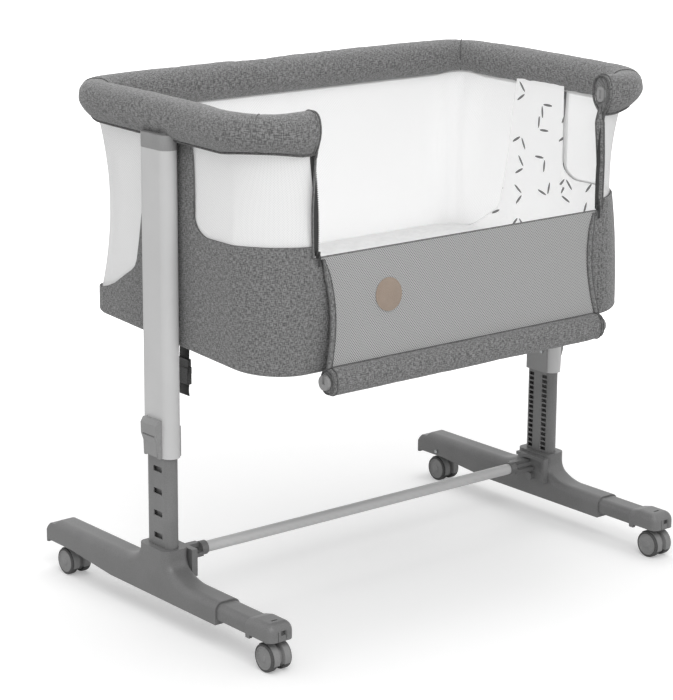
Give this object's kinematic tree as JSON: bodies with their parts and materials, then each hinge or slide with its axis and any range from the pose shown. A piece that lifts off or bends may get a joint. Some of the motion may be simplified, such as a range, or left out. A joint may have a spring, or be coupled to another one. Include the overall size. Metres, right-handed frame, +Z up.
{
  "type": "bedside sleeper crib",
  "caption": "Wheeled bedside crib with a height-adjustable padded mesh cot, a fold-down side towards the bed and telescopic feet.",
  "frame": {"origin": "on the floor, at the centre of the outer size in plan", "axes": "+X along the cot to the end called right, -Y out of the open bed side, +Z up"},
  "size_m": [0.9, 0.6264, 0.855],
  "materials": {
    "leg_plastic": "satin mid-grey moulded plastic",
    "post_paint": "light grey powder coat",
    "dark_post": "mid-grey moulded post",
    "lever_plastic": "light grey moulded plastic",
    "wheel_plastic": "grey wheel",
    "zinc_steel": "zinc-plated steel",
    "melange_cloth": "grey melange woven cloth",
    "white_net": "open white net",
    "grey_net": "grey spacer mesh",
    "white_quilt": "quilted white cotton",
    "board_plastic": "hollow plastic board",
    "webbing": "grey webbing",
    "buckle_plastic": "black moulded plastic",
    "zip_tape": "dark grey zip tape",
    "patch_cloth": "beige patch"
  },
  "bodies": {
    "base": {"left_foot_shell": "leg_plastic", "left_lower_post": "dark_post", "left_stretcher_fork": "leg_plastic", "left_stretcher_bracket": "leg_plastic", "right_foot_shell": "leg_plastic", "right_lower_post": "dark_post", "right_stretcher_fork": "leg_plastic", "right_stretcher_bracket": "leg_plastic", "stretcher_tube": "post_paint", "bracket_screws": "zinc_steel"},
    "cot": {"left_upper_tube": "post_paint", "left_post_guide": "lever_plastic", "left_post_cap": "lever_plastic", "right_upper_tube": "post_paint", "right_post_guide": "lever_plastic", "right_post_cap": "lever_plastic", "lever_housings": "lever_plastic", "guide_screws": "zinc_steel", "rail_tube": "zinc_steel", "rail_padding": "melange_cloth", "rail_end_plugs": "lever_plastic", "tub_cloth": "melange_cloth", "mesh_walls": "white_net", "base_tube": "zinc_steel", "base_board": "board_plastic", "mattress": "white_quilt", "frame_brackets": "leg_plastic", "fold_bar": "zinc_steel", "side_zips": "zip_tape", "bed_straps": "webbing", "strap_buckles": "buckle_plastic"},
    "drop_side": {"side_panel": "grey_net", "side_sleeve": "melange_cloth", "side_bar": "zinc_steel", "side_bar_connectors": "lever_plastic", "side_badge": "patch_cloth"},
    "left_lever": {"left_height_lever": "lever_plastic"},
    "left_latch": {"left_latch_bolt": "zinc_steel"},
    "left_extension": {"left_extension_tube": "leg_plastic", "left_extension_nose": "leg_plastic"},
    "left_front_swivel": {"left_front_caster_hood": "leg_plastic", "left_front_caster_pins": "zinc_steel"},
    "left_front_outer_wheel": {"left_front_caster_outer_wheel": "wheel_plastic"},
    "left_front_inner_wheel": {"left_front_caster_inner_wheel": "wheel_plastic"},
    "left_back_swivel": {"left_back_caster_hood": "leg_plastic", "left_back_caster_pins": "zinc_steel"},
    "left_back_outer_wheel": {"left_back_caster_outer_wheel": "wheel_plastic"},
    "left_back_inner_wheel": {"left_back_caster_inner_wheel": "wheel_plastic"},
    "right_lever": {"right_height_lever": "lever_plastic"},
    "right_latch": {"right_latch_bolt": "zinc_steel"},
    "right_extension": {"right_extension_tube": "leg_plastic", "right_extension_nose": "leg_plastic"},
    "right_front_swivel": {"right_front_caster_hood": "leg_plastic", "right_front_caster_pins": "zinc_steel"},
    "right_front_outer_wheel": {"right_front_caster_outer_wheel": "wheel_plastic"},
    "right_front_inner_wheel": {"right_front_caster_inner_wheel": "wheel_plastic"},
    "right_back_swivel": {"right_back_caster_hood": "leg_plastic", "right_back_caster_pins": "zinc_steel"},
    "right_back_outer_wheel": {"right_back_caster_outer_wheel": "wheel_plastic"},
    "right_back_inner_wheel": {"right_back_caster_inner_wheel": "wheel_plastic"}
  },
  "joints": [
    {"name": "cot_height", "type": "slide", "parent": "base", "child": "cot", "axis": [0, 0, 1], "range_m": [-0.15, 0]},
    {"name": "drop_side_hinge", "type": "hinge", "parent": "cot", "child": "drop_side", "pos_m": [0, -0.2416, 0.623], "axis": [-1, 0, 0], "range_deg": [0, 176.4]},
    {"name": "left_lever_hinge", "type": "hinge", "parent": "cot", "child": "left_lever", "pos_m": [-0.444, -0.00075, 0.311], "axis": [0, 1, 0], "range_deg": [0, 14], "stiffness_Nm_per_rad": 0.5, "springref_deg": -17.19},
    {"name": "left_latch_slide", "type": "slide", "parent": "cot", "child": "left_latch", "axis": [-1, 0, 0], "range_m": [0, 0.0048]},
    {"name": "left_extension_slide", "type": "slide", "parent": "base", "child": "left_extension", "axis": [0, 1, 0], "range_m": [0, 0.066]},
    {"name": "left_front_swivel_hinge", "type": "hinge", "parent": "left_extension", "child": "left_front_swivel", "pos_m": [-0.422, -0.281, 0.04], "axis": [0, 0, 1], "continuous": true},
    {"name": "left_front_outer_spin", "type": "hinge", "parent": "left_front_swivel", "child": "left_front_outer_wheel", "pos_m": [-0.422, -0.289, 0.023], "axis": [1, 0, 0], "continuous": true},
    {"name": "left_front_inner_spin", "type": "hinge", "parent": "left_front_swivel", "child": "left_front_inner_wheel", "pos_m": [-0.422, -0.289, 0.023], "axis": [1, 0, 0], "continuous": true},
    {"name": "left_back_swivel_hinge", "type": "hinge", "parent": "base", "child": "left_back_swivel", "pos_m": [-0.422, 0.2735, 0.04], "axis": [0, 0, 1], "continuous": true},
    {"name": "left_back_outer_spin", "type": "hinge", "parent": "left_back_swivel", "child": "left_back_outer_wheel", "pos_m": [-0.422, 0.2655, 0.023], "axis": [1, 0, 0], "continuous": true},
    {"name": "left_back_inner_spin", "type": "hinge", "parent": "left_back_swivel", "child": "left_back_inner_wheel", "pos_m": [-0.422, 0.2655, 0.023], "axis": [1, 0, 0], "continuous": true},
    {"name": "right_lever_hinge", "type": "hinge", "parent": "cot", "child": "right_lever", "pos_m": [0.444, -0.00075, 0.311], "axis": [0, -1, 0], "range_deg": [0, 14], "stiffness_Nm_per_rad": 0.5, "springref_deg": -17.19},
    {"name": "right_latch_slide", "type": "slide", "parent": "cot", "child": "right_latch", "axis": [1, 0, 0], "range_m": [0, 0.0048]},
    {"name": "right_extension_slide", "type": "slide", "parent": "base", "child": "right_extension", "axis": [0, 1, 0], "range_m": [0, 0.066]},
    {"name": "right_front_swivel_hinge", "type": "hinge", "parent": "right_extension", "child": "right_front_swivel", "pos_m": [0.422, -0.281, 0.04], "axis": [0, 0, 1], "continuous": true},
    {"name": "right_front_outer_spin", "type": "hinge", "parent": "right_front_swivel", "child": "right_front_outer_wheel", "pos_m": [0.422, -0.289, 0.023], "axis": [1, 0, 0], "continuous": true},
    {"name": "right_front_inner_spin", "type": "hinge", "parent": "right_front_swivel", "child": "right_front_inner_wheel", "pos_m": [0.422, -0.289, 0.023], "axis": [1, 0, 0], "continuous": true},
    {"name": "right_back_swivel_hinge", "type": "hinge", "parent": "base", "child": "right_back_swivel", "pos_m": [0.422, 0.2735, 0.04], "axis": [0, 0, 1], "continuous": true},
    {"name": "right_back_outer_spin", "type": "hinge", "parent": "right_back_swivel", "child": "right_back_outer_wheel", "pos_m": [0.422, 0.2655, 0.023], "axis": [1, 0, 0], "continuous": true},
    {"name": "right_back_inner_spin", "type": "hinge", "parent": "right_back_swivel", "child": "right_back_inner_wheel", "pos_m": [0.422, 0.2655, 0.023], "axis": [1, 0, 0], "continuous": true}
  ],
  "couplings": [
    {"joint": "left_latch_slide", "follows": "left_lever_hinge", "m_per_rad": 0.0195},
    {"joint": "right_latch_slide", "follows": "right_lever_hinge", "m_per_rad": 0.0195}
  ]
}
